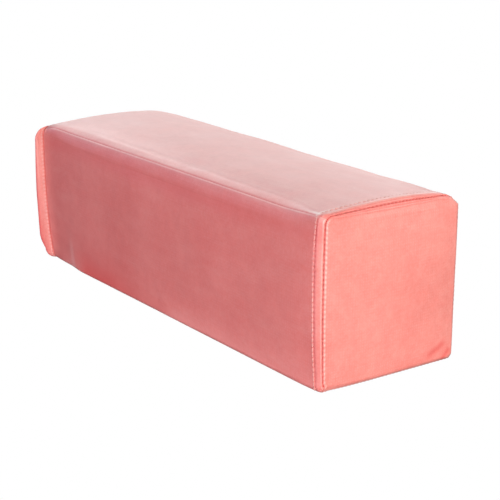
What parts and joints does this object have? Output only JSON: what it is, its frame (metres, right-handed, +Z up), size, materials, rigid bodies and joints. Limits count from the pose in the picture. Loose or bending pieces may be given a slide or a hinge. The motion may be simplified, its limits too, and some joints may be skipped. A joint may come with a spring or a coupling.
{
  "type": "short foam balance beam",
  "caption": "Short square foam balance beam in a sewn vinyl cover with a flat base and a zip along the back.",
  "frame": {"origin": "middle of the base, on the floor", "axes": "+X along the beam towards its right end, -Y out of the front, +Z up"},
  "size_m": [0.475, 0.1495, 0.15],
  "materials": {
    "vinyl": "satin",
    "foam": "matte",
    "zip_tape": "matte",
    "zip_teeth": "gloss",
    "zip_metal": "satin"
  },
  "bodies": {
    "beam": {"core_board_lower": "foam", "core_board_middle": "foam", "core_board_upper": "foam", "top_panel": "vinyl", "front_panel": "vinyl", "back_panel": "vinyl", "base_panel": "vinyl", "left_end_panel": "vinyl", "right_end_panel": "vinyl", "zip_tape_upper": "zip_tape", "zip_tape_lower": "zip_tape", "zip_teeth_upper": "zip_teeth", "zip_teeth_lower": "zip_teeth", "zip_top_stops": "zip_teeth", "zip_bottom_stop": "zip_teeth"},
    "slider": {"zip_slider": "zip_metal"},
    "pull": {"zip_pull": "zip_metal"}
  },
  "joints": [
    {"name": "zip_slide", "type": "slide", "parent": "beam", "child": "slider", "axis": [1, 0, 0], "range_m": [-0.348, 0], "deforming": ["zip_teeth_upper", "zip_teeth_lower"]},
    {"name": "pull_swing", "type": "hinge", "parent": "slider", "child": "pull", "pos_m": [0.174, 0.0744, 0.03], "axis": [0, 0, -1], "range_deg": [0, 175]}
  ]
}
